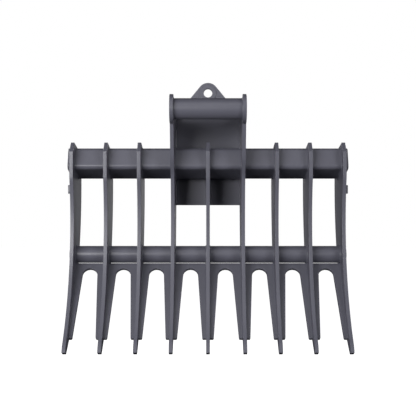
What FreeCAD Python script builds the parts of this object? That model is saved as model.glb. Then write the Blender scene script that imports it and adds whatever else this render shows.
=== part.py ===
import FreeCAD, Part

import math
import os
import re

import Sketcher
from FreeCAD import Placement, Rotation, Vector

# Excavator rake, a welded bucket-sized grading and root rake.
# X runs across the rake, Y from the toothed front to the back, Z up.
# The origin is the middle of the round coupler bar, which hangs the rake.
# Drops are measured down from the bar's axis, setbacks to the rear of it.

SIZES = {
    # Flame-cut plates and their spacing across the rake
    "plate_thickness": 16,
    "hanger_offset": 155.6,
    "tine_pitch": 148.2,
    # Front edge of every tine: shoulder, hollow curve, toe
    "shoulder_setback": 90,
    "shoulder_drop": 285,
    "front_bulge": 95.6,
    "toe_forward": 89,
    "toe_drop": 998.5,
    # Tip: a short steep face and a slanted end cut
    "tip_flat_forward": 11,
    "tip_flat_height": 25,
    "tip_width": 26,
    "tip_slant": 12,
    # Back edge of every tine
    "back_setback": 332,
    "back_drop": 309.5,
    "back_bulge": 108.4,
    # Head of the plain tines, over the upper tube
    "crest_rise": 90.3,
    "crest_chamfer": 42,
    "crest_slope": 12,
    "crest_round": 50,
    # Head of the two hanger plates, with nose, saddle and horn
    "nose_radius": 62.5,
    "nose_heel": 3,
    "hanger_bend_forward": 47,
    "hanger_bend_rise": 70,
    "hanger_bend_round": 120,
    "saddle_setback": 164,
    "saddle_radius": 150,
    "horn_radius": 25,
    # Coupler bar, a thick tube, with a hard sleeve pressed through it
    "bar_diameter": 90,
    "sleeve_diameter": 75,
    "sleeve_bore": 60,
    # Upper cross tube, a rectangular hollow section turned about its length
    "box_height": 100,
    "box_depth": 150,
    "box_wall": 8,
    "box_corner": 18,
    "box_setback": 207,
    "box_drop": 223.3,
    "box_tilt": 18,
    "box_overhang": 14,
    # Lower cross tube, a round hollow section
    "pipe_diameter": 76.1,
    "pipe_wall": 6.3,
    "pipe_share": 0.5327,
    "pipe_drop": 632.5,
    "pipe_overhang": 10,
    "cap_thickness": 6,
    # Arched web plates that tie the tines together below the lower tube
    "web_thickness": 16,
    "web_length": 369.5,
    "web_lean": 34.9,
    "web_forward": 10,
    "web_pipe_gap": 1.6,
    "arch_radius": 33.2,
    "arch_bridge": 26.1,
    "leg_end_width": 16.3,
    "leg_round": 6,
    # Back plate between the hanger plates, with two holes for the coupler's locking bolts
    "back_plate_thickness": 20,
    "back_plate_setback": 307,
    "back_plate_foot_drop": 410.5,
    "back_plate_rise": 55.5,
    "lock_hole_diameter": 50,
    "lock_hole_spacing": 150,
    "lock_hole_rise": 18,
    # Lifting eye on the top edge of the back plate, with a ring on its front
    "eye_thickness": 16,
    "eye_half_width": 108,
    "eye_hole_rise": 55.5,
    "eye_head_radius": 48,
    "eye_hole_diameter": 40,
    "eye_ring_diameter": 76,
    "eye_ring_thickness": 4,
    # Plain raised pads on the outer faces of the end tines
    "pad_thickness": 10,
    "pad_length": 190,
    "pad_height": 38,
    "pad_setback": 117,
    "pad_drop": 341,
    "pad_round": 6,
    # Room between a tube and its hole, and between the sleeve and the bar
    "cut_clearance": 0.4,
    "press_clearance": 0.1,
}

# Corners that the tines' outlines share, as formulas of setback and height
TOE = ("-toe_forward", "-toe_drop")
SHOULDER = ("shoulder_setback", "-shoulder_drop")
BACK_TOP = ("back_setback", "-back_drop")
TIP = ("-(toe_forward + tip_flat_forward)", "-(toe_drop + tip_flat_height)")
HEEL = (f"{TIP[0]} + tip_width", f"{TIP[1]} - tip_slant")


def curve_values(name, low, high):
    """Return the formulas that place a blade's long curve: its chord, radius and hub."""
    rise = f"(({high[1]}) - ({low[1]}))"
    lean = f"(({high[0]}) - ({low[0]}))"
    to_hub = f"({name}_radius - {name}_bulge) / {name}_chord"
    return {
        f"{name}_chord": f"sqrt({rise}^2 + {lean}^2)",
        f"{name}_radius": f"({name}_chord^2 / 4 + {name}_bulge^2) / (2 * {name}_bulge)",
        f"{name}_hub_back": f"(({low[0]}) + ({high[0]})) / 2 - {rise} * {to_hub}",
        f"{name}_hub_up": f"(({low[1]}) + ({high[1]})) / 2 + {lean} * {to_hub}",
        f"{name}_at_pipe": f"{name}_hub_back + sqrt({name}_radius^2 - (pipe_drop + {name}_hub_up)^2)",
    }


# Values that follow from the sizes and are used in several places
DERIVED = {
    **curve_values("front", TOE, SHOULDER),
    **curve_values("back", HEEL, BACK_TOP),
    "pipe_setback": "front_at_pipe + pipe_share * (back_at_pipe - front_at_pipe)",
    "crest_drop": "box_drop - crest_rise",
    "hanger_bend_setback": "shoulder_setback - hanger_bend_forward",
    "hanger_bend_drop": "shoulder_drop - hanger_bend_rise",
    "hanger_gap": "2 * hanger_offset - plate_thickness",
    "bar_length": "hanger_gap + 2 * plate_thickness",
    "end_face": "hanger_offset + 3 * tine_pitch + plate_thickness / 2",
}

# A turn that holds its axis until a formula gives the angle
ANY_TURN = 10

document = FreeCAD.newDocument("excavator_rake")
sheet = document.addObject("Spreadsheet::Sheet", "Sizes")
cells = {name: str(size) for name, size in SIZES.items()}
cells.update({name: f"={text}" for name, text in DERIVED.items()})
for row, (name, content) in enumerate(cells.items(), start=1):
    sheet.set(f"A{row}", content)
    sheet.setAlias(f"A{row}", name)
document.recompute()

bodies = []


def formula(text):
    """Return the text with each value's name led by its sheet."""
    return re.sub(r"[a-z_]+", lambda word: f"Sizes.{word[0]}" if word[0] in cells else word[0], text)


def amount(text):
    """Return what a formula comes to with the sheet as it is."""
    return float(sheet.evalExpression(formula(text)))


def minus(text):
    """Return the formula with its sign turned."""
    return f"-({text})"


def new_body(label):
    """Start a sub-part under its own name."""
    body = document.addObject("PartDesign::Body", label)
    body.Label = label
    bodies.append(body)
    return body


def place(body, across="0", back="0", up="0", turn=None):
    """Put a body at its seat, turned about the X axis where a turn is given."""
    body.Placement = Placement(Vector(), Rotation(Vector(1, 0, 0), ANY_TURN if turn else 0))
    body.setExpression("Placement.Base.x", formula(across))
    body.setExpression("Placement.Base.y", formula(back))
    body.setExpression("Placement.Base.z", formula(up))
    if turn:
        body.setExpression("Placement.Rotation.Angle", formula(turn))


def new_sketch(body, name, role, right="0", up="0", turn=None):
    """Attach a sketch to one of the body's own planes, shifted and turned in that plane."""
    sketch = body.newObject("Sketcher::SketchObject", name)
    plane = [feature for feature in body.Origin.OriginFeatures if feature.Role == role][0]
    sketch.AttachmentSupport = [(plane, "")]
    sketch.MapMode = "FlatFace"
    sketch.AttachmentOffset = Placement(Vector(), Rotation(Vector(0, 0, 1), ANY_TURN if turn else 0))
    sketch.setExpression("AttachmentOffset.Base.x", formula(right))
    sketch.setExpression("AttachmentOffset.Base.y", formula(up))
    if turn:
        sketch.setExpression("AttachmentOffset.Rotation.Angle", formula(turn))
    return sketch


def bind(sketch, kind, *elements, text):
    """Add a dimension to the sketch and tie it to a formula."""
    number = sketch.addConstraint(Sketcher.Constraint(kind, *elements, amount(text)))
    sketch.setExpression(f"Constraints[{number}]", formula(text))


def pin_point(sketch, line, end, right, up):
    """Fix one end of a line or arc by its two coordinates."""
    bind(sketch, "DistanceX", -1, 1, line, end, text=right)
    bind(sketch, "DistanceY", -1, 1, line, end, text=up)


def arc_through(start, finish, radius, bulges_left, is_major):
    """Return the arc from start to finish, and whether it runs counterclockwise."""
    chord = finish - start
    left = Vector(-chord.y, chord.x, 0).normalize()
    depth = math.sqrt(max(radius ** 2 - (chord.Length / 2) ** 2, 0))
    centre_side = 1 if bulges_left == is_major else -1
    centre = (start + finish) / 2 + left * depth * centre_side
    first, last = (finish, start) if bulges_left else (start, finish)
    begin = math.atan2(first.y - centre.y, first.x - centre.x)
    end = math.atan2(last.y - centre.y, last.x - centre.x)
    if end < begin:
        end += 2 * math.pi
    circle = Part.Circle(centre, Vector(0, 0, 1), radius)
    return Part.ArcOfCircle(circle, begin, end), not bulges_left


def closed_outline(sketch, corners):
    """Draw a closed outline whose corners are (right, up, way to the next corner).

    A way is None for a straight line, or (radius, bulges_left, is_major) for an arc.
    """
    points = [Vector(amount(right), amount(up), 0) for right, up, _ in corners]
    starts = []
    ends = []
    for index, (_, _, way) in enumerate(corners):
        start = points[index]
        finish = points[(index + 1) % len(points)]
        if way is None:
            line = sketch.addGeometry(Part.LineSegment(start, finish), False)
            runs_forward = True
        else:
            radius, bulges_left, is_major = way
            arc, runs_forward = arc_through(start, finish, amount(radius), bulges_left, is_major)
            line = sketch.addGeometry(arc, False)
        starts.append((line, 1 if runs_forward else 2))
        ends.append((line, 2 if runs_forward else 1))
    for index, (right, up, way) in enumerate(corners):
        following = starts[(index + 1) % len(starts)]
        sketch.addConstraint(Sketcher.Constraint("Coincident", *ends[index], *following))
        pin_point(sketch, *starts[index], right, up)
        if way is not None:
            bind(sketch, "Radius", starts[index][0], text=way[0])


def circle(sketch, diameter, right="0", up="0"):
    """Draw a full circle."""
    centre = Vector(amount(right), amount(up), 0)
    line = sketch.addGeometry(Part.Circle(centre, Vector(0, 0, 1), amount(diameter) / 2), False)
    pin_point(sketch, line, 3, right, up)
    bind(sketch, "Diameter", line, text=diameter)


def rounded_rectangle(sketch, width, height, radius):
    """Draw a rectangle with round corners about the sketch's origin."""
    side = f"({width}) / 2"
    top = f"({height}) / 2"
    inner_side = f"{side} - ({radius})"
    inner_top = f"{top} - ({radius})"
    turn = (radius, False, False)
    closed_outline(sketch, [
        (minus(inner_side), minus(top), None),
        (inner_side, minus(top), turn),
        (side, minus(inner_top), None),
        (side, inner_top, turn),
        (inner_side, top, None),
        (minus(inner_side), top, turn),
        (minus(side), inner_top, None),
        (minus(side), minus(inner_top), turn),
    ])


def arched_outline(sketch, half_base, base, centre, radius, surround):
    """Draw an arch: two legs tangent to a round head, closed through the surrounding corners."""
    foot = Vector(amount(half_base), amount(base), 0)
    hub = Vector(0, amount(centre), 0)
    reach = foot - hub
    touch_angle = math.atan2(reach.y, reach.x) + math.acos(amount(radius) / reach.Length)
    touch = hub + Vector(math.cos(touch_angle), math.sin(touch_angle), 0) * amount(radius)
    left_foot = Vector(-foot.x, foot.y, 0)
    left_touch = Vector(-touch.x, touch.y, 0)
    left_leg = sketch.addGeometry(Part.LineSegment(left_foot, left_touch), False)
    ring = Part.Circle(hub, Vector(0, 0, 1), amount(radius))
    head = sketch.addGeometry(Part.ArcOfCircle(ring, touch_angle, math.pi - touch_angle), False)
    right_leg = sketch.addGeometry(Part.LineSegment(touch, foot), False)
    sketch.addConstraint(Sketcher.Constraint("Tangent", left_leg, 2, head, 2))
    sketch.addConstraint(Sketcher.Constraint("Tangent", right_leg, 1, head, 1))
    pin_point(sketch, head, 3, "0", centre)
    bind(sketch, "Radius", head, text=radius)
    pin_point(sketch, left_leg, 1, minus(half_base), base)
    pin_point(sketch, right_leg, 2, half_base, base)
    last = (right_leg, 2)
    here = foot
    for right, up in surround:
        corner = Vector(amount(right), amount(up), 0)
        line = sketch.addGeometry(Part.LineSegment(here, corner), False)
        sketch.addConstraint(Sketcher.Constraint("Coincident", *last, line, 1))
        pin_point(sketch, line, 2, right, up)
        last = (line, 2)
        here = corner
    closing = sketch.addGeometry(Part.LineSegment(here, left_foot), False)
    sketch.addConstraint(Sketcher.Constraint("Coincident", *last, closing, 1))
    sketch.addConstraint(Sketcher.Constraint("Coincident", closing, 2, left_leg, 1))


def pad(body, sketch, thickness):
    """Thicken a sketch evenly to both sides of its plane."""
    feature = body.newObject("PartDesign::Pad", f"{body.Name}_pad")
    feature.Profile = sketch
    feature.SideType = "Symmetric"
    feature.setExpression("Length", formula(thickness))
    document.recompute()


def pocket(body, sketch, depth):
    """Cut a sketch evenly to both sides of its plane, and see that something was cut."""
    before = body.Shape.Volume
    feature = body.newObject("PartDesign::Pocket", f"{sketch.Name}_pocket")
    feature.Profile = sketch
    feature.SideType = "Symmetric"
    feature.setExpression("Length", formula(depth))
    document.recompute()
    if not body.Shape.Volume < before:
        raise RuntimeError(f"{feature.Name} cuts nothing from {body.Label}")


def round_edges(body, corners, radius, axis="x"):
    """Round the edges along one axis of the body that pass nearest to the given corners."""
    base = body.Tip
    picked = []
    for corner in corners:
        distances = []
        for number, edge in enumerate(base.Shape.Edges, start=1):
            run = edge.Vertexes[-1].Point - edge.Vertexes[0].Point
            if run.Length == 0 or abs(getattr(run, axis)) < 0.999 * run.Length:
                continue
            offset = edge.CenterOfMass - corner
            setattr(offset, axis, 0)
            distances.append((offset.Length, f"Edge{number}"))
        picked.append(min(distances)[1])
    feature = body.newObject("PartDesign::Fillet", f"{body.Name}_round_{len(body.Group)}")
    feature.Base = (base, picked)
    feature.setExpression("Radius", formula(radius))
    document.recompute()


# The long curves of the tines' front and back edges
FRONT_CURVE = ("front_radius", False, False)
BACK_CURVE = ("back_radius", True, False)

# Where the plain tine's sloping top would meet its back edge
CREST_FALL = "(back_setback - shoulder_setback - crest_chamfer) * tan(crest_slope * 1 deg)"
CREST_BACK = f"-crest_drop - {CREST_FALL}"

# The hanger plate's saddle touches the round nose and the round horn
SADDLE_UP = "sqrt((nose_radius + saddle_radius)^2 - saddle_setback^2)"
HORN_BACK = "(back_setback - horn_radius)"
HORN_REACH = f"({HORN_BACK} - saddle_setback)"
HORN_UP = f"({SADDLE_UP} - sqrt((saddle_radius + horn_radius)^2 - {HORN_REACH}^2))"
NOSE_SHARE = "nose_radius / (nose_radius + saddle_radius)"
HORN_SHARE = "horn_radius / (saddle_radius + horn_radius)"

# How high the web's upper front edge lies, under the lower tube
WEB_TOP = "-(pipe_drop + pipe_diameter / 2 + web_pipe_gap)"


def tine_head():
    """Return the corners of a plain tine's head, from the shoulder to the back edge."""
    return [
        (*SHOULDER, None),
        ("shoulder_setback", "-(crest_drop + crest_chamfer)", None),
        ("shoulder_setback + crest_chamfer", "-crest_drop", None),
        ("back_setback", CREST_BACK, None),
    ]


def hanger_head():
    """Return the corners of a hanger plate's head: bend, nose, saddle and horn."""
    nose_up = f"{NOSE_SHARE} * {SADDLE_UP}"
    horn_touch_back = f"{HORN_BACK} - {HORN_SHARE} * {HORN_REACH}"
    horn_touch_up = f"{HORN_UP} + {HORN_SHARE} * ({SADDLE_UP} - {HORN_UP})"
    return [
        (*SHOULDER, None),
        ("hanger_bend_setback", "-hanger_bend_drop", None),
        ("nose_heel", "-sqrt(nose_radius^2 - nose_heel^2)", ("nose_radius", True, True)),
        (f"{NOSE_SHARE} * saddle_setback", nose_up, ("saddle_radius", False, False)),
        (horn_touch_back, horn_touch_up, ("horn_radius", True, False)),
        ("back_setback", HORN_UP, None),
    ]


def tine_blade(label, head, across):
    """Cut a curved tine plate, with a clear hole for each cross tube."""
    body = new_body(label)
    outline = new_sketch(body, f"{label}_outline", "YZ_Plane")
    foot = [(*HEEL, None), (*TIP, None)]
    closed_outline(outline, [(*TOE, FRONT_CURVE), *head, (*BACK_TOP, BACK_CURVE), *foot])
    pad(body, outline, "plate_thickness")
    box_hole = new_sketch(body, f"{label}_box_hole", "YZ_Plane", "box_setback", "-box_drop", "-box_tilt")
    hole_depth = "box_depth + 2 * cut_clearance"
    hole_height = "box_height + 2 * cut_clearance"
    rounded_rectangle(box_hole, hole_depth, hole_height, "box_corner + cut_clearance")
    pocket(body, box_hole, "2 * plate_thickness")
    pipe_hole = new_sketch(body, f"{label}_pipe_hole", "YZ_Plane")
    circle(pipe_hole, "pipe_diameter + 2 * cut_clearance", "pipe_setback", "-pipe_drop")
    pocket(body, pipe_hole, "2 * plate_thickness")
    place(body, across)
    return body


def plain_tine(label, across):
    """Make one of the seven tines with a plain head."""
    body = tine_blade(label, tine_head(), across)
    back_corner = Vector(0, amount("back_setback"), amount(CREST_BACK))
    round_edges(body, [back_corner], "crest_round")
    return body


def centre_tine(label):
    """Make the middle tine, whose back is cut away for the back plate."""
    body = plain_tine(label, "0")
    notch = new_sketch(body, f"{label}_notch", "YZ_Plane")
    front = "back_plate_setback - cut_clearance"
    foot = "-(back_plate_foot_drop + cut_clearance)"
    closed_outline(notch, [
        (front, foot, None),
        ("back_setback + plate_thickness", foot, None),
        ("back_setback + plate_thickness", "-crest_drop", None),
        (front, "-crest_drop", None),
    ])
    pocket(body, notch, "2 * plate_thickness")


def hanger_plate(label, across):
    """Make a tine that runs up into an ear, with the coupler bar's hole in its nose."""
    body = tine_blade(label, hanger_head(), across)
    bend = Vector(0, amount("hanger_bend_setback"), -amount("hanger_bend_drop"))
    shoulder = Vector(0, amount("shoulder_setback"), -amount("shoulder_drop"))
    round_edges(body, [bend, shoulder], "hanger_bend_round")
    bar_hole = new_sketch(body, f"{label}_bar_hole", "YZ_Plane")
    circle(bar_hole, "bar_diameter + 2 * cut_clearance")
    pocket(body, bar_hole, "2 * plate_thickness")


def arched_web(label, across, width):
    """Make a web plate between two tines: an arch on two tapered legs."""
    body = new_body(label)
    outline = new_sketch(body, f"{label}_outline", "XZ_Plane")
    side = f"({width}) / 2"
    arched_outline(
        outline,
        half_base=f"{side} - leg_end_width",
        base="-web_length",
        centre="-(arch_bridge + arch_radius)",
        radius="arch_radius",
        surround=[(side, "-web_length"), (side, "0"), (minus(side), "0"), (minus(side), "-web_length")],
    )
    pad(body, outline, "web_thickness")
    foot = -amount("web_length")
    inner = amount(f"{side} - leg_end_width")
    round_edges(body, [Vector(inner, 0, foot), Vector(-inner, 0, foot)], "leg_round", axis="y")
    place(
        body,
        across,
        "pipe_setback - web_forward + web_thickness / 2 * cos(web_lean * 1 deg)",
        f"{WEB_TOP} - web_thickness / 2 * sin(web_lean * 1 deg)",
        "-web_lean",
    )


def box_section(body, thickness, hollow):
    """Draw and thicken the upper tube's section about its own axis."""
    outline = new_sketch(body, f"{body.Name}_outline", "YZ_Plane")
    rounded_rectangle(outline, "box_depth", "box_height", "box_corner")
    if hollow:
        inner_depth = "box_depth - 2 * box_wall"
        inner_height = "box_height - 2 * box_wall"
        rounded_rectangle(outline, inner_depth, inner_height, "box_corner - box_wall")
    pad(body, outline, thickness)


def round_section(body, thickness, diameters, role="YZ_Plane"):
    """Draw and thicken a disc or, with two diameters, a ring."""
    outline = new_sketch(body, f"{body.Name}_outline", role)
    for diameter in diameters:
        circle(outline, diameter)
    pad(body, outline, thickness)


def cross_tubes():
    """Make the two cross tubes and the plates that close their ends."""
    box_end = "(end_face + box_overhang - cap_thickness)"
    pipe_end = "(end_face + pipe_overhang - cap_thickness)"
    upper = new_body("upper_cross_tube")
    box_section(upper, f"2 * {box_end}", hollow=True)
    place(upper, "0", "box_setback", "-box_drop", "-box_tilt")
    lower = new_body("lower_cross_tube")
    round_section(lower, f"2 * {pipe_end}", ["pipe_diameter", "pipe_diameter - 2 * pipe_wall"])
    place(lower, "0", "pipe_setback", "-pipe_drop")
    for side, sign in (("left", "-"), ("right", "")):
        upper_cap = new_body(f"upper_tube_cap_{side}")
        box_section(upper_cap, "cap_thickness", hollow=False)
        place(upper_cap, f"{sign}({box_end} + cap_thickness / 2)", "box_setback", "-box_drop", "-box_tilt")
        lower_cap = new_body(f"lower_tube_cap_{side}")
        round_section(lower_cap, "cap_thickness", ["pipe_diameter"])
        place(lower_cap, f"{sign}({pipe_end} + cap_thickness / 2)", "pipe_setback", "-pipe_drop")


def coupler_bar():
    """Make the bar through both ears and the sleeve through the bar."""
    bar = new_body("coupler_bar")
    round_section(bar, "bar_length", ["bar_diameter", "sleeve_diameter + 2 * press_clearance"])
    sleeve = new_body("bar_sleeve")
    round_section(sleeve, "bar_length", ["sleeve_diameter", "sleeve_bore"])


def back_plate():
    """Make the plate between the hanger plates, bored for two locking bolts."""
    body = new_body("back_plate")
    outline = new_sketch(body, "back_plate_outline", "XZ_Plane")
    side = "hanger_gap / 2"
    foot = "-back_plate_foot_drop"
    closed_outline(outline, [
        (minus(side), foot, None),
        (side, foot, None),
        (side, "back_plate_rise", None),
        (minus(side), "back_plate_rise", None),
    ])
    for sign in ("-", ""):
        circle(outline, "lock_hole_diameter", f"{sign}lock_hole_spacing / 2", "lock_hole_rise")
    pad(body, outline, "back_plate_thickness")
    place(body, "0", "back_plate_setback + back_plate_thickness / 2")


def lifting_eye():
    """Make the eye that stands on the back plate, and the ring on its front face."""
    middle = "back_plate_setback + back_plate_thickness / 2"
    body = new_body("lifting_eye")
    outline = new_sketch(body, "lifting_eye_outline", "XZ_Plane")
    arched_outline(outline, "eye_half_width", "0", "eye_hole_rise", "eye_head_radius", surround=[])
    circle(outline, "eye_hole_diameter", "0", "eye_hole_rise")
    pad(body, outline, "eye_thickness")
    place(body, "0", middle, "back_plate_rise")
    ring = new_body("eye_ring")
    round_section(ring, "eye_ring_thickness", ["eye_ring_diameter", "eye_hole_diameter"], "XZ_Plane")
    offset = "(eye_thickness + eye_ring_thickness) / 2"
    place(ring, "0", f"{middle} - {offset}", "back_plate_rise + eye_hole_rise")


def side_pads():
    """Make the plain raised pad on the outer face of each end tine."""
    for side, sign in (("left", "-"), ("right", "")):
        body = new_body(f"side_pad_{side}")
        outline = new_sketch(body, f"side_pad_{side}_outline", "YZ_Plane")
        rounded_rectangle(outline, "pad_length", "pad_height", "pad_round")
        pad(body, outline, "pad_thickness")
        place(body, f"{sign}(end_face + pad_thickness / 2)", "pad_setback + pad_length / 2", "-pad_drop")


def tines():
    """Make the nine tines from left to right: the fourth and sixth are the hanger plates."""
    for number in range(1, 10):
        step = abs(number - 5)
        sign = "-" if number < 5 else ""
        across = f"{sign}(hanger_offset + {step - 1} * tine_pitch)"
        if step == 0:
            centre_tine("centre_tine")
        elif step == 1:
            hanger_plate("hanger_plate_left" if sign else "hanger_plate_right", across)
        else:
            plain_tine(f"tine_{number}", across)


def webs():
    """Make the eight web plates: the two inner bays are bounded by the centre tine."""
    for number in range(1, 9):
        sign = "-" if number < 5 else ""
        step = 5 - number if number < 5 else number - 4
        if step == 1:
            across = f"{sign}hanger_offset / 2"
            width = "hanger_offset - plate_thickness"
        else:
            across = f"{sign}(hanger_offset + {step - 1.5} * tine_pitch)"
            width = "tine_pitch - plate_thickness"
        arched_web(f"web_{number}", across, width)


def check_and_write():
    """See that everything was built, then write each sub-part to its own file."""
    document.recompute()
    for item in document.Objects:
        if "Invalid" in item.State or "Error" in item.State:
            raise RuntimeError(f"{item.Name} failed: {item.State}")
    for body in bodies:
        if body.Shape.isNull() or not body.Shape.isValid() or len(body.Shape.Solids) != 1:
            raise RuntimeError(f"{body.Label} is not one valid solid")
    os.makedirs("parts", exist_ok=True)
    for body in bodies:
        body.Shape.exportStep(os.path.join("parts", f"{body.Label}.step"))
        print(f"{body.Label}: {body.Shape.Volume / 1000:.1f} cm3")


tines()
webs()
cross_tubes()
coupler_bar()
back_plate()
lifting_eye()
side_pads()
check_and_write()
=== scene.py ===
"""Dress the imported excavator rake: painted plate and tube, weld seams, a turned sleeve and a studio."""

import logging
import math
from dataclasses import dataclass
from enum import Enum

import bmesh
import bpy
from bmesh.types import BMesh, BMEdge, BMVert
from bpy.types import Material, Node, NodeSocket, NodeTree, Object
from mathutils import Matrix, Vector


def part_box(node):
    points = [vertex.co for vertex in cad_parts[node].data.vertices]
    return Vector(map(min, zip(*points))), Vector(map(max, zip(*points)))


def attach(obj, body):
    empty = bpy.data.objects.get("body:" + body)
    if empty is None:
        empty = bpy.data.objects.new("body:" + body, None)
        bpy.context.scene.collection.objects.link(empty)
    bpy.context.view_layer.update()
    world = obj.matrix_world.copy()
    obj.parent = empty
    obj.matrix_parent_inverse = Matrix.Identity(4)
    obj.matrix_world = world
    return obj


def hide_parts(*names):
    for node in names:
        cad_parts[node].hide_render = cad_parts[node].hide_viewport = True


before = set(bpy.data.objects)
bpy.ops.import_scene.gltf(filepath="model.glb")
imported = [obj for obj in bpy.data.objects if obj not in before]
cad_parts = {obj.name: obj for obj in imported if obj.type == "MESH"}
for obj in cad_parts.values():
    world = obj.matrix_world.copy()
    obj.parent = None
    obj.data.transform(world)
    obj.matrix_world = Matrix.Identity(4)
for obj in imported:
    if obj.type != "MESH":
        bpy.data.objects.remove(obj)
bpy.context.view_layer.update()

BODY = "root"
MILLIMETRE = 0.001
MERGE_DISTANCE = 1e-6
FLAT_ANGLE = math.radians(0.3)
SHARP_ANGLE = math.radians(30)
FACE_AREA_WEIGHT = 100
NODE_SPACING = 200
CLOUD_DETAIL = 4.0
SKIN_DETAIL = 2.0

log = logging.getLogger("rake")


class Slot(Enum):
    """The record's material slots."""

    PAINT = "paint"
    SLEEVE = "sleeve_steel"


class Side(Enum):
    """The two sides of the rake, as the sign of X."""

    LEFT = -1
    RIGHT = 1


@dataclass
class NodeDesk:
    """Places shader nodes in one tree, in a row from left to right."""

    tree: NodeTree
    column: int = 0

    def add(self, kind: str, **settings: object) -> Node:
        """Add a node and set its properties.

        Args:
            kind: Blender's name of the node type.
            settings: properties of the node, by name.

        Returns:
            The new node.
        """
        node = self.tree.nodes.new(kind)
        node.location = (self.column * NODE_SPACING, 0)
        self.column += 1
        for name, value in settings.items():
            setattr(node, name, value)
        return node

    def feed(self, socket: NodeSocket, source: object) -> None:
        """Link a socket from another one, or give it a plain value.

        Args:
            socket: the input to fill.
            source: an output socket, or a number, colour or vector.
        """
        if isinstance(source, NodeSocket):
            self.tree.links.new(source, socket)
        else:
            socket.default_value = source

    def noise(self, vector: NodeSocket, scale: object, detail: float) -> NodeSocket:
        """Add a noise texture.

        Args:
            vector: where the noise is read.
            scale: its scale, a number or a socket.
            detail: how many finer layers it has.

        Returns:
            The noise's value.
        """
        node = self.add("ShaderNodeTexNoise")
        self.feed(node.inputs["Vector"], vector)
        self.feed(node.inputs["Scale"], scale)
        self.feed(node.inputs["Detail"], detail)
        return node.outputs["Fac"]

    def spread(self, value: NodeSocket, low: object, high: object) -> NodeSocket:
        """Map a value from 0 to 1 onto the range from low to high.

        Args:
            value: the socket to map.
            low: what 0 becomes.
            high: what 1 becomes.

        Returns:
            The mapped value.
        """
        node = self.add("ShaderNodeMapRange")
        self.feed(node.inputs["Value"], value)
        self.feed(node.inputs["To Min"], low)
        self.feed(node.inputs["To Max"], high)
        return node.outputs["Result"]


def new_group(name: str, takes: dict[str, str], gives: dict[str, str]) -> NodeTree:
    """Start a shader node group with named sockets.

    Args:
        name: the group's name.
        takes: its inputs, each name with its socket type.
        gives: its outputs, each name with its socket type.

    Returns:
        The empty group.
    """
    tree = bpy.data.node_groups.new(name, "ShaderNodeTree")
    for label, kind in takes.items():
        tree.interface.new_socket(name=label, in_out="INPUT", socket_type=kind)
    for label, kind in gives.items():
        tree.interface.new_socket(name=label, in_out="OUTPUT", socket_type=kind)
    return tree


def film_group() -> NodeTree:
    """Build the group for a sprayed or worked surface: cloudy colour, uneven gloss and a fine skin.

    Returns:
        The group. It takes a position, a dark and a light colour, a low and a high roughness and the
        skin's scale, and gives a colour, a roughness and a height.
    """
    tree = new_group(
        "surface_film",
        {
            "Position": "NodeSocketVector",
            "Dark": "NodeSocketColor",
            "Light": "NodeSocketColor",
            "Cloud Scale": "NodeSocketFloat",
            "Roughness Low": "NodeSocketFloat",
            "Roughness High": "NodeSocketFloat",
            "Skin Scale": "NodeSocketFloat",
        },
        {"Colour": "NodeSocketColor", "Roughness": "NodeSocketFloat", "Height": "NodeSocketFloat"},
    )
    desk = NodeDesk(tree)
    given = desk.add("NodeGroupInput").outputs
    cloud = desk.noise(given["Position"], given["Cloud Scale"], CLOUD_DETAIL)
    mix = desk.add("ShaderNodeMix", data_type="RGBA")
    desk.feed(mix.inputs["Factor"], cloud)
    desk.feed(mix.inputs["A"], given["Dark"])
    desk.feed(mix.inputs["B"], given["Light"])
    skin = desk.noise(given["Position"], given["Skin Scale"], SKIN_DETAIL)
    gloss = desk.spread(skin, given["Roughness Low"], given["Roughness High"])
    out = desk.add("NodeGroupOutput")
    colour = [socket for socket in mix.outputs if socket.type == "RGBA"][0]
    desk.feed(out.inputs["Colour"], colour)
    desk.feed(out.inputs["Roughness"], gloss)
    desk.feed(out.inputs["Height"], skin)
    return tree


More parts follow.
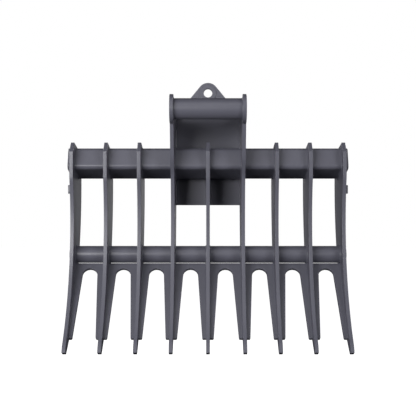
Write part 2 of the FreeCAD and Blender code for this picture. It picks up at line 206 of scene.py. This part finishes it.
@dataclass(frozen=True)
class Finish:
    """A finish of the rake, made from the shared film group."""

    name: str
    dark: tuple[float, float, float, float]
    light: tuple[float, float, float, float]
    roughness_low: float
    roughness_high: float
    metallic: float
    specular: float
    cloud_scale: float
    skin_scale: float
    skin_depth: float
    rings_per_metre: float = 0.0
    ring_depth: float = 0.0

    def material(self, film: NodeTree) -> Material:
        """Build the finish's material.

        Args:
            film: the shared group.

        Returns:
            The material.
        """
        material = bpy.data.materials.new(self.name)
        material.use_nodes = True
        tree = material.node_tree
        tree.nodes.clear()
        desk = NodeDesk(tree)
        position = desk.add("ShaderNodeTexCoord").outputs["Object"]
        group = desk.add("ShaderNodeGroup", node_tree=film)
        desk.feed(group.inputs["Position"], position)
        desk.feed(group.inputs["Dark"], self.dark)
        desk.feed(group.inputs["Light"], self.light)
        desk.feed(group.inputs["Cloud Scale"], self.cloud_scale)
        desk.feed(group.inputs["Roughness Low"], self.roughness_low)
        desk.feed(group.inputs["Roughness High"], self.roughness_high)
        desk.feed(group.inputs["Skin Scale"], self.skin_scale)
        skin = desk.add("ShaderNodeBump")
        skin.inputs["Distance"].default_value = self.skin_depth
        desk.feed(skin.inputs["Height"], group.outputs["Height"])
        normal = skin.outputs["Normal"]
        if self.rings_per_metre:
            normal = self._turned(desk, position, normal)
        shader = desk.add("ShaderNodeBsdfPrincipled")
        shader.inputs["Metallic"].default_value = self.metallic
        shader.inputs["Specular IOR Level"].default_value = self.specular
        desk.feed(shader.inputs["Base Color"], group.outputs["Colour"])
        desk.feed(shader.inputs["Roughness"], group.outputs["Roughness"])
        desk.feed(shader.inputs["Normal"], normal)
        out = desk.add("ShaderNodeOutputMaterial")
        desk.feed(out.inputs["Surface"], shader.outputs["BSDF"])
        return material

    def _turned(self, desk: NodeDesk, position: NodeSocket, normal: NodeSocket) -> NodeSocket:
        """Add the fine rings that a lathe leaves about the X axis.

        Args:
            desk: where the nodes go.
            position: the surface's own position.
            normal: the normal to build on.

        Returns:
            The normal with the rings.
        """
        rings = desk.add("ShaderNodeTexWave", wave_type="RINGS", rings_direction="X")
        rings.inputs["Scale"].default_value = self.rings_per_metre
        desk.feed(rings.inputs["Vector"], position)
        bump = desk.add("ShaderNodeBump")
        bump.inputs["Distance"].default_value = self.ring_depth
        desk.feed(bump.inputs["Height"], rings.outputs["Fac"])
        desk.feed(bump.inputs["Normal"], normal)
        return bump.outputs["Normal"]


PAINT = Finish(
    name="rake_paint",
    dark=(0.093, 0.093, 0.118, 1.0),
    light=(0.107, 0.107, 0.134, 1.0),
    roughness_low=0.30,
    roughness_high=0.38,
    metallic=0.0,
    specular=0.5,
    cloud_scale=7.0,
    skin_scale=420.0,
    skin_depth=0.00004,
)
SEAM_PAINT = Finish(
    name="seam_paint",
    dark=(0.084, 0.084, 0.107, 1.0),
    light=(0.100, 0.100, 0.126, 1.0),
    roughness_low=0.38,
    roughness_high=0.50,
    metallic=0.0,
    specular=0.5,
    cloud_scale=30.0,
    skin_scale=600.0,
    skin_depth=0.00012,
)
SLEEVE_STEEL = Finish(
    name="sleeve_steel",
    dark=(0.22, 0.22, 0.23, 1.0),
    light=(0.32, 0.32, 0.33, 1.0),
    roughness_low=0.40,
    roughness_high=0.54,
    metallic=1.0,
    specular=0.5,
    cloud_scale=60.0,
    skin_scale=900.0,
    skin_depth=0.00003,
    rings_per_metre=160.0,
    ring_depth=0.00005,
)


def add_piece(name: str, mesh: BMesh, material: Material, slot: Slot, *nodes: str) -> Object:
    """Turn a bmesh into a piece of the rake that rides on its body.

    Args:
        name: the piece's name.
        mesh: its finished geometry, which is freed.
        material: its finish.
        slot: the record's slot that the finish stands for; not used.
        nodes: the CAD nodes that it replaces.

    Returns:
        The piece.
    """
    data = bpy.data.meshes.new(name)
    mesh.to_mesh(data)
    mesh.free()
    data.materials.append(material)
    piece = bpy.data.objects.new(name, data)
    bpy.context.scene.collection.objects.link(piece)
    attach(piece, BODY)
    if nodes:
        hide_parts(*nodes)
    log.info("%s: %d faces", name, len(data.polygons))
    return piece


def even_shading(piece: Object) -> None:
    """Shade a piece smooth over its rounded edges and flat over its plates."""
    for polygon in piece.data.polygons:
        polygon.use_smooth = True
    modifier = piece.modifiers.new("even_normals", "WEIGHTED_NORMAL")
    modifier.weight = FACE_AREA_WEIGHT
    modifier.keep_sharp = True


@dataclass
class EasedPart:
    """A CAD node with its cut edges eased, as grinding and paint leave them."""

    node: str
    ease: float = 1.2 * MILLIMETRE
    rounds: int = 3

    def build(self, material: Material, slot: Slot) -> Object:
        """Copy the node, merge it, ease its sharp edges and dress it.

        Args:
            material: the part's finish.
            slot: the record's slot of that finish.

        Returns:
            The piece.
        """
        mesh = bmesh.new()
        mesh.from_mesh(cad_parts[self.node].data)
        bmesh.ops.remove_doubles(mesh, verts=mesh.verts[:], dist=MERGE_DISTANCE)
        bmesh.ops.dissolve_limit(
            mesh, angle_limit=FLAT_ANGLE, use_dissolve_boundaries=False,
            verts=mesh.verts[:], edges=mesh.edges[:],
        )
        sharp = [edge for edge in mesh.edges if edge.calc_face_angle(0.0) > SHARP_ANGLE]
        bmesh.ops.bevel(
            mesh, geom=sharp, offset=self.ease, offset_type="OFFSET", segments=self.rounds, profile=0.5,
            affect="EDGES", clamp_overlap=True, material=-1,
        )
        piece = add_piece(f"{self.node}_eased", mesh, material, slot, self.node)
        even_shading(piece)
        return piece


@dataclass
class SeamWalker:
    """Lays one weld seam: a ring of vertices is pushed along the joint, a ripple at a time."""

    mesh: BMesh
    radius: float
    ripple: float = 0.10
    step: float = 2.6 * MILLIMETRE
    sides: int = 8
    join_share: float = 0.05

    def begin(self, place: Vector, heading: Vector) -> None:
        """Put the first ring square to the heading.

        Args:
            place: the seam's first point.
            heading: the way that it starts.
        """
        turn = heading.to_track_quat("Z", "Y").to_matrix().to_4x4()
        self.seat = Matrix.Translation(place) @ turn
        made = bmesh.ops.create_circle(
            self.mesh, cap_ends=False, segments=self.sides, radius=self.radius, matrix=self.seat
        )
        self.ring: list[BMVert] = made["verts"]
        self.size = 1.0
        self.count = 0

    def _push(self, move: Matrix) -> None:
        """Extrude the ring and move the new one, thick and thin in turn.

        Args:
            move: the ring's move in the rake's frame.
        """
        on_ring = set(self.ring)
        edges: list[BMEdge] = [
            edge for edge in {e for v in self.ring for e in v.link_edges} if set(edge.verts) <= on_ring
        ]
        made = bmesh.ops.extrude_edge_only(self.mesh, edges=edges)
        self.ring = [part for part in made["geom"] if isinstance(part, BMVert)]
        self.count += 1
        size = 1.0 - self.ripple * (self.count % 2)
        grown = self.seat @ Matrix.Scale(size / self.size, 4) @ self.seat.inverted()
        bmesh.ops.transform(self.mesh, matrix=move @ grown, verts=self.ring)
        self.seat = move @ self.seat
        self.size = size

    def run(self, heading: Vector, length: float) -> None:
        """Lay a straight stretch.

        Args:
            heading: its direction.
            length: its length.
        """
        steps = 2 * max(1, round(length / self.step / 2))
        move = Matrix.Translation(heading.normalized() * (length / steps))
        for _ in range(steps):
            self._push(move)

    def bend(self, hub: Vector, axis: Vector, angle: float, radius: float) -> None:
        """Lay a stretch round a hub.

        Args:
            hub: a point on the bend's axis.
            axis: the axis's direction.
            angle: how far it goes round.
            radius: its distance from the hub.
        """
        steps = 2 * max(2, round(abs(angle) * radius / self.step / 2))
        turn = Matrix.Rotation(angle / steps, 4, axis)
        move = Matrix.Translation(hub) @ turn @ Matrix.Translation(-hub)
        for _ in range(steps):
            self._push(move)

    def finish(self) -> None:
        """Join a seam's last ring to its first, or close both ends."""
        bmesh.ops.remove_doubles(self.mesh, verts=self.mesh.verts[:], dist=self.radius * self.join_share)
        bmesh.ops.holes_fill(self.mesh, edges=[edge for edge in self.mesh.edges if edge.is_boundary], sides=0)


def straight_seam(start: Vector, end: Vector, radius: float) -> BMesh:
    """Lay a seam along a straight joint.

    Args:
        start: its first point.
        end: its last point.
        radius: the bead's radius.

    Returns:
        The seam.
    """
    mesh = bmesh.new()
    walker = SeamWalker(mesh, radius)
    walker.begin(start, end - start)
    walker.run(end - start, (end - start).length)
    walker.finish()
    return mesh


def round_seam(hub: Vector, axis: Vector, radius: float, bead: float) -> BMesh:
    """Lay a seam round a tube, bar or ring.

    Args:
        hub: the middle of the joint.
        axis: the tube's direction.
        radius: the joint's radius.
        bead: the bead's radius.

    Returns:
        The seam.
    """
    mesh = bmesh.new()
    walker = SeamWalker(mesh, bead)
    arm = axis.orthogonal().normalized() * radius
    walker.begin(hub + arm, axis.cross(arm))
    walker.bend(hub, axis, 2 * math.pi, radius)
    walker.finish()
    return mesh


def box_seam(hub: Vector, width: float, height: float, corner: float, tilt: float, bead: float) -> BMesh:
    """Lay a seam round a rectangle with round corners, square to the X axis.

    Args:
        hub: the middle of the joint.
        width: its size along Y before it is tilted.
        height: its size along Z before it is tilted.
        corner: its corners' radius.
        tilt: how far it is turned about X, in radians.
        bead: the bead's radius.

    Returns:
        The seam.
    """
    mesh = bmesh.new()
    walker = SeamWalker(mesh, bead)
    turn = Matrix.Rotation(tilt, 3, "X")
    reach_y, reach_z = width / 2 - corner, height / 2 - corner
    walker.begin(hub + turn @ Vector((0, -reach_y, -height / 2)), turn @ Vector((0, 1, 0)))
    legs = [
        (Vector((0, 1, 0)), 2 * reach_y, Vector((0, reach_y, -reach_z))),
        (Vector((0, 0, 1)), 2 * reach_z, Vector((0, reach_y, reach_z))),
        (Vector((0, -1, 0)), 2 * reach_y, Vector((0, -reach_y, reach_z))),
        (Vector((0, 0, -1)), 2 * reach_z, Vector((0, -reach_y, -reach_z))),
    ]
    for heading, length, corner_hub in legs:
        walker.run(turn @ heading, length)
        walker.bend(hub + turn @ corner_hub, Vector((1, 0, 0)), math.pi / 2, corner)
    walker.finish()
    return mesh


def middle_at(node: str, across: float) -> Vector:
    """Find the middle of a CAD node at a place along X.

    Args:
        node: the node's name.
        across: the place.

    Returns:
        The point, half way along the node's Y and Z.
    """
    low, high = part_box(node)
    return Vector((across, (low.y + high.y) / 2, (low.z + high.z) / 2))


def join_seams(seams: list[BMesh]) -> BMesh:
    """Bring several seams into one bmesh.

    Args:
        seams: the seams, which are freed.

    Returns:
        The joined seams, with their faces pointing out.
    """
    joined = bmesh.new()
    for seam in seams:
        carrier = bpy.data.meshes.new("seam")
        seam.to_mesh(carrier)
        seam.free()
        joined.from_mesh(carrier)
        bpy.data.meshes.remove(carrier)
    bmesh.ops.recalc_face_normals(joined, faces=joined.faces[:])
    return joined


@dataclass
class Weldment:
    """What the parts of the rake share: their finishes and their way of being added."""

    paint: Material
    seam_paint: Material

    def plates(self, nodes: list[str]) -> None:
        """Ease and paint the given CAD nodes."""
        for node in nodes:
            EasedPart(node).build(self.paint, Slot.PAINT)

    def seams(self, name: str, seams: list[BMesh]) -> Object:
        """Add a set of weld seams as one painted piece.

        Args:
            name: the piece's name.
            seams: its seams.

        Returns:
            The piece.
        """
        piece = add_piece(name, join_seams(seams), self.seam_paint, Slot.PAINT)
        for polygon in piece.data.polygons:
            polygon.use_smooth = True
        return piece


TINES = ["tine_1", "tine_2", "tine_3", "hanger_plate_left", "centre_tine", "hanger_plate_right",
         "tine_7", "tine_8", "tine_9"]
WEBS = [f"web_{number}" for number in range(1, 9)]


@dataclass
class TineRow(Weldment):
    """The nine tines and the plain pads on the outer ones."""

    pad_corner: float = 6 * MILLIMETRE
    bead: float = 2.0 * MILLIMETRE

    def build(self) -> None:
        """Add the tines, the pads and the pads' seams."""
        self.plates(TINES)
        self.plates(["side_pad_left", "side_pad_right"])
        self.seams("pad_seams", [self._pad_seam(side) for side in Side])

    def _pad_seam(self, side: Side) -> BMesh:
        """Lay the seam round one pad, on the tine's face."""
        pad = f"side_pad_{side.name.lower()}"
        low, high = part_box(pad)
        hub = middle_at(pad, low.x if side is Side.RIGHT else high.x)
        return box_seam(hub, high.y - low.y, high.z - low.z, self.pad_corner, 0.0, self.bead)


@dataclass
class CrossTubes(Weldment):
    """The rectangular upper tube and the round lower one, with their caps and seams."""

    box_depth: float = 150 * MILLIMETRE
    box_height: float = 100 * MILLIMETRE
    box_corner: float = 18 * MILLIMETRE
    box_tilt: float = math.radians(-18)
    bead: float = 3.5 * MILLIMETRE
    cap_bead: float = 1.6 * MILLIMETRE
    cap_seam_depth: float = 0.8 * MILLIMETRE

    def build(self) -> None:
        """Add the tubes, their caps and every seam round them."""
        self.plates(["upper_cross_tube", "lower_cross_tube"])
        self.plates([f"{tube}_tube_cap_{side.name.lower()}" for tube in ("upper", "lower") for side in Side])
        faces = [edge.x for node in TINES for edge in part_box(node)]
        upper = [self._box_seam_at(x, 0.0, self.bead) for x in faces]
        lower = [self._pipe_seam_at(x, 0.0, self.bead) for x in faces]
        self.seams("upper_tube_seams", upper)
        self.seams("lower_tube_seams", lower)
        upper_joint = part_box("upper_cross_tube")[1].x
        lower_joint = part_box("lower_cross_tube")[1].x
        depth = self.cap_seam_depth
        caps = []
        for side in Side:
            caps.append(self._box_seam_at(side.value * upper_joint, depth, self.cap_bead))
            caps.append(self._pipe_seam_at(side.value * lower_joint, depth, self.cap_bead))
        self.seams("cap_seams", caps)

    def _box_seam_at(self, across: float, depth: float, bead: float) -> BMesh:
        """Lay a seam round the rectangular tube.

        Args:
            across: its place along the tube.
            depth: how far its middle lies below the tube's skin.
            bead: the bead's radius.

        Returns:
            The seam.
        """
        hub = middle_at("upper_cross_tube", across)
        size = (self.box_depth - 2 * depth, self.box_height - 2 * depth)
        return box_seam(hub, *size, self.box_corner - depth, self.box_tilt, bead)

    def _pipe_seam_at(self, across: float, depth: float, bead: float) -> BMesh:
        """Lay a seam round the round tube.

        Args:
            across: its place along the tube.
            depth: how far its middle lies below the tube's skin.
            bead: the bead's radius.

        Returns:
            The seam.
        """
        low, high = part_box("lower_cross_tube")
        hub = middle_at("lower_cross_tube", across)
        return round_seam(hub, Vector((1, 0, 0)), (high.z - low.z) / 2 - depth, bead)


@dataclass
class WebRow(Weldment):
    """The eight arched webs, welded to the tines along their sides."""

    thickness: float = 16 * MILLIMETRE
    length: float = 369.5 * MILLIMETRE
    lean: float = math.radians(34.9)
    front_bead: float = 2.0 * MILLIMETRE
    back_bead: float = 3.5 * MILLIMETRE
    edge_bead: float = 1.6 * MILLIMETRE
    edge_sink: float = 1 / 3
    end_gap: float = 4 * MILLIMETRE

    def build(self) -> None:
        """Add the webs and the seams along the faces and the upper edge of each."""
        self.plates(WEBS)
        seams = []
        for node in WEBS:
            seams.extend(self._web_seams(node))
        self.seams("web_seams", seams)

    def _web_seams(self, node: str) -> list[BMesh]:
        """Lay the seams of one web: two along each side and one on its upper edge.

        Args:
            node: the web's name.

        Returns:
            Its seams.
        """
        low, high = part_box(node)
        down = Vector((0, -math.sin(self.lean), -math.cos(self.lean)))
        inward = Vector((0, math.cos(self.lean), -math.sin(self.lean)))
        top = Vector((0, high.y - self.thickness * math.cos(self.lean), high.z))
        made = []
        for across in (low.x, high.x):
            for face, bead in ((0.0, self.front_bead), (self.thickness, self.back_bead)):
                start = top + inward * face + down * self.end_gap
                start.x = across
                end = start + down * (self.length - 2 * self.end_gap)
                made.append(straight_seam(start, end, bead))
        edge = top + (inward + down) * (self.edge_bead * self.edge_sink)
        ends = [Vector((across, edge.y, edge.z)) for across in (low.x, high.x)]
        made.append(straight_seam(*ends, self.edge_bead))
        return made


@dataclass
class CouplerHead(Weldment):
    """The bar between the ears, its sleeve, the back plate and the lifting eye."""

    steel: Material
    bar_bead: float = 3.5 * MILLIMETRE
    end_bead: float = 1.6 * MILLIMETRE
    plate_bead: float = 3.5 * MILLIMETRE
    eye_bead: float = 2.4 * MILLIMETRE
    ring_bead: float = 1.8 * MILLIMETRE
    end_gap: float = 4 * MILLIMETRE
    crest_gap: float = 32 * MILLIMETRE

    def build(self) -> None:
        """Add the head's parts and the seams that hold them."""
        self.plates(["coupler_bar", "back_plate", "lifting_eye", "eye_ring"])
        EasedPart("bar_sleeve", ease=1.0 * MILLIMETRE).build(self.steel, Slot.SLEEVE)
        self.seams("bar_seams", self._bar_seams())
        self.seams("back_plate_seams", self._plate_seams())
        self.seams("lifting_eye_seams", self._eye_seams())

    def _bar_seams(self) -> list[BMesh]:
        """Lay the seams round the bar, inside and outside each ear."""
        made = []
        low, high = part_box("coupler_bar")
        radius = (high.z - low.z) / 2
        gap_low, gap_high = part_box("back_plate")
        axis = Vector((1, 0, 0))
        for inner, outer in ((gap_low.x, low.x), (gap_high.x, high.x)):
            made.append(round_seam(Vector((inner, 0, 0)), axis, radius, self.bar_bead))
            sign = math.copysign(1, outer)
            sunk = Vector((outer - sign * self.end_bead / 2, 0, 0))
            made.append(round_seam(sunk, axis, radius, self.end_bead))
        return made

    def _plate_seams(self) -> list[BMesh]:
        """Lay the seams that hold the back plate to the hanger plates and the centre tine."""
        low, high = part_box("back_plate")
        foot, head = low.z + self.end_gap, high.z - self.end_gap
        made = []
        for across in (low.x, high.x):
            for back in (low.y, high.y):
                ends = Vector((across, back, foot)), Vector((across, back, head))
                made.append(straight_seam(*ends, self.plate_bead))
        tine_low, tine_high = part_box("centre_tine")
        crest = tine_high.z - self.crest_gap
        for across in (tine_low.x, tine_high.x):
            ends = Vector((across, low.y, foot)), Vector((across, low.y, crest))
            made.append(straight_seam(*ends, self.plate_bead))
        return made

    def _eye_seams(self) -> list[BMesh]:
        """Lay the seams under the lifting eye and round its ring."""
        low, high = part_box("lifting_eye")
        made = []
        for back in (low.y, high.y):
            start = Vector((low.x + self.end_gap, back, low.z))
            end = Vector((high.x - self.end_gap, back, low.z))
            made.append(straight_seam(start, end, self.eye_bead))
        ring_low, ring_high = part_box("eye_ring")
        hub = Vector((0, ring_high.y, (ring_low.z + ring_high.z) / 2))
        made.append(round_seam(hub, Vector((0, 1, 0)), (ring_high.z - ring_low.z) / 2, self.ring_bead))
        return made


@dataclass(frozen=True)
class Lamp:
    """A square soft lamp that looks at the rake."""

    name: str
    turn: float
    rise: float
    level: float
    size: float = 2.2
    distance: float = 5.0

    def hang(self, aim: Vector) -> None:
        """Add the lamp to the scene.

        The turn is its direction about Z from straight in front, to the right, and the rise its height
        above the level, both in degrees. The level is how bright a white matt surface that faces it gets.

        Args:
            aim: the point that it looks at.
        """
        turn, rise = math.radians(self.turn), math.radians(self.rise)
        data = bpy.data.lights.new(self.name, "AREA")
        data.shape = "SQUARE"
        data.size = self.size
        data.energy = self.level * (math.pi * self.distance) ** 2
        lamp = bpy.data.objects.new(self.name, data)
        away = Vector((math.sin(turn) * math.cos(rise), -math.cos(turn) * math.cos(rise), math.sin(rise)))
        lamp.location = aim + away * self.distance
        lamp.rotation_euler = away.to_track_quat("Z", "Y").to_euler()
        bpy.context.scene.collection.objects.link(lamp)


LAMPS = [
    Lamp("key_lamp", turn=-25, rise=8, level=0.53, size=1.8),
    Lamp("second_key_lamp", turn=-45, rise=8, level=0.44, size=1.8),
    Lamp("right_front_lamp", turn=38, rise=8, level=0.38, size=1.8),
    Lamp("top_lamp", turn=0, rise=50, level=0.08),
    Lamp("brow_lamp", turn=-8, rise=24, level=0.04),
    Lamp("left_lamp", turn=-90, rise=5, level=0.10),
    Lamp("right_lamp", turn=90, rise=5, level=0.24),
    Lamp("left_back_lamp", turn=-135, rise=18, level=0.45),
    Lamp("right_back_lamp", turn=140, rise=22, level=0.32),
]


@dataclass
class Studio:
    """The camera, the lamps, the pale floor and the white surroundings."""

    camera_back: float = 3.415
    camera_down: float = 0.4235
    sensor: float = 36.0
    picture: int = 416
    pixels_per_unit: float = 800.0
    view_reach: float = 200.0
    aim: Vector = Vector((0.0, 0.1, -0.45))
    surroundings: float = 0.01
    backdrop_turn: float = math.radians(2)
    backdrop_angle: float = math.radians(8)
    backdrop_level: float = 1.0
    bounce: float = 0.01
    shadow_reach: float = 2.8
    shadow_share: float = 0.15
    floor_height: float = -2.1
    floor_size: float = 60.0
    floor_pale: float = 0.8
    floor_lift: float = 1.05

    def build(self) -> None:
        """Set up the camera, the lamps, the floor and the world."""
        self._camera()
        for lamp in LAMPS:
            lamp.hang(self.aim)
        self._floor()
        self._world()
        bpy.context.scene.view_settings.view_transform = "Standard"

    def _camera(self) -> None:
        """Place a level camera in front of the open side of the rake."""
        data = bpy.data.cameras.new("camera")
        data.sensor_width = self.sensor
        data.lens = self.pixels_per_unit / self.picture * self.sensor
        data.clip_end = self.view_reach
        camera = bpy.data.objects.new("camera", data)
        camera.location = (0, -self.camera_back, -self.camera_down)
        camera.rotation_euler = (math.pi / 2, 0, 0)
        bpy.context.scene.collection.objects.link(camera)
        bpy.context.scene.camera = camera

    def _floor(self) -> None:
        """Lay a plain pale floor under the hanging rake, white to the camera but for shadows."""
        mesh = bmesh.new()
        bmesh.ops.create_grid(mesh, x_segments=1, y_segments=1, size=self.floor_size / 2)
        bmesh.ops.translate(mesh, vec=(0, 0, self.floor_height), verts=mesh.verts[:])
        data = bpy.data.meshes.new("floor")
        mesh.to_mesh(data)
        mesh.free()
        floor = bpy.data.objects.new("floor", data)
        bpy.context.scene.collection.objects.link(floor)
        data.materials.append(self._floor_material())

    def _floor_material(self) -> Material:
        """Build the floor's material: matt, and lifted to white where the camera sees it.

        Returns:
            The material. Round the rake it is lifted a little less, so that its shadow shows.
        """
        material = bpy.data.materials.new("pale_floor")
        material.use_nodes = True
        tree = material.node_tree
        tree.nodes.clear()
        desk = NodeDesk(tree)
        place = desk.add("ShaderNodeTexCoord").outputs["Object"]
        reach = desk.add("ShaderNodeVectorMath", operation="DISTANCE")
        desk.feed(reach.inputs[0], place)
        reach.inputs[1].default_value = (0, 0, self.floor_height)
        lift = desk.add("ShaderNodeMapRange", interpolation_type="SMOOTHSTEP")
        desk.feed(lift.inputs["Value"], reach.outputs["Value"])
        lift.inputs["From Min"].default_value = self.shadow_reach / 2
        lift.inputs["From Max"].default_value = self.shadow_reach
        lift.inputs["To Min"].default_value = 1 - self.shadow_share
        lift.inputs["To Max"].default_value = self.floor_lift
        glow = desk.add("ShaderNodeEmission")
        desk.feed(glow.inputs["Strength"], lift.outputs["Result"])
        pale = desk.add("ShaderNodeBsdfDiffuse")
        pale.inputs["Color"].default_value = (self.floor_pale, self.floor_pale, self.floor_pale, 1)
        seen = desk.add("ShaderNodeAddShader")
        desk.feed(seen.inputs[0], glow.outputs["Emission"])
        desk.feed(seen.inputs[1], pale.outputs["BSDF"])
        dim = desk.add("ShaderNodeBsdfDiffuse")
        dim.inputs["Color"].default_value = (self.bounce, self.bounce, self.bounce, 1)
        path = desk.add("ShaderNodeLightPath")
        mix = desk.add("ShaderNodeMixShader")
        desk.feed(mix.inputs["Fac"], path.outputs["Is Camera Ray"])
        desk.feed(mix.inputs[1], dim.outputs["BSDF"])
        desk.feed(mix.inputs[2], seen.outputs["Shader"])
        out = desk.add("ShaderNodeOutputMaterial")
        desk.feed(out.inputs["Surface"], mix.outputs["Shader"])
        return material

    def _world(self) -> None:
        """Make the surroundings white to the camera, pale in reflections and dim as a light."""
        world = bpy.data.worlds.new("studio")
        bpy.context.scene.world = world
        world.use_nodes = True
        tree = world.node_tree
        tree.nodes.clear()
        desk = NodeDesk(tree)
        heading = desk.add("ShaderNodeTexCoord").outputs["Generated"]
        along = desk.add("ShaderNodeVectorMath", operation="DOT_PRODUCT")
        desk.feed(along.inputs[0], heading)
        along.inputs[1].default_value = (math.sin(self.backdrop_turn), math.cos(self.backdrop_turn), 0)
        backdrop = desk.add("ShaderNodeMapRange", interpolation_type="SMOOTHSTEP")
        desk.feed(backdrop.inputs["Value"], along.outputs["Value"])
        backdrop.inputs["From Min"].default_value = math.cos(self.backdrop_angle)
        backdrop.inputs["From Max"].default_value = math.cos(self.backdrop_angle / 2)
        backdrop.inputs["To Max"].default_value = self.backdrop_level
        path = desk.add("ShaderNodeLightPath")
        mirrored = desk.add("ShaderNodeMath", operation="MULTIPLY")
        desk.feed(mirrored.inputs[0], path.outputs["Is Glossy Ray"])
        desk.feed(mirrored.inputs[1], backdrop.outputs["Result"])
        seen = desk.add("ShaderNodeMath", operation="MAXIMUM")
        desk.feed(seen.inputs[0], path.outputs["Is Camera Ray"])
        desk.feed(seen.inputs[1], path.outputs["Is Transmission Ray"])
        shown = desk.add("ShaderNodeMath", operation="MAXIMUM")
        desk.feed(shown.inputs[0], seen.outputs["Value"])
        desk.feed(shown.inputs[1], mirrored.outputs["Value"])
        background = desk.add("ShaderNodeBackground")
        background.inputs["Color"].default_value = (1, 1, 1, 1)
        desk.feed(background.inputs["Strength"], desk.spread(shown.outputs["Value"], self.surroundings, 1.0))
        out = desk.add("ShaderNodeOutputWorld")
        desk.feed(out.inputs["Surface"], background.outputs["Background"])


def main() -> None:
    """Build the finishes, every part of the rake and the studio."""
    logging.basicConfig(level=logging.INFO, format="%(name)s: %(message)s")
    film = film_group()
    paint = PAINT.material(film)
    seam_paint = SEAM_PAINT.material(film)
    steel = SLEEVE_STEEL.material(film)
    TineRow(paint, seam_paint).build()
    CrossTubes(paint, seam_paint).build()
    WebRow(paint, seam_paint).build()
    CouplerHead(paint, seam_paint, steel).build()
    Studio().build()


if __name__ == "__main__":
    main()
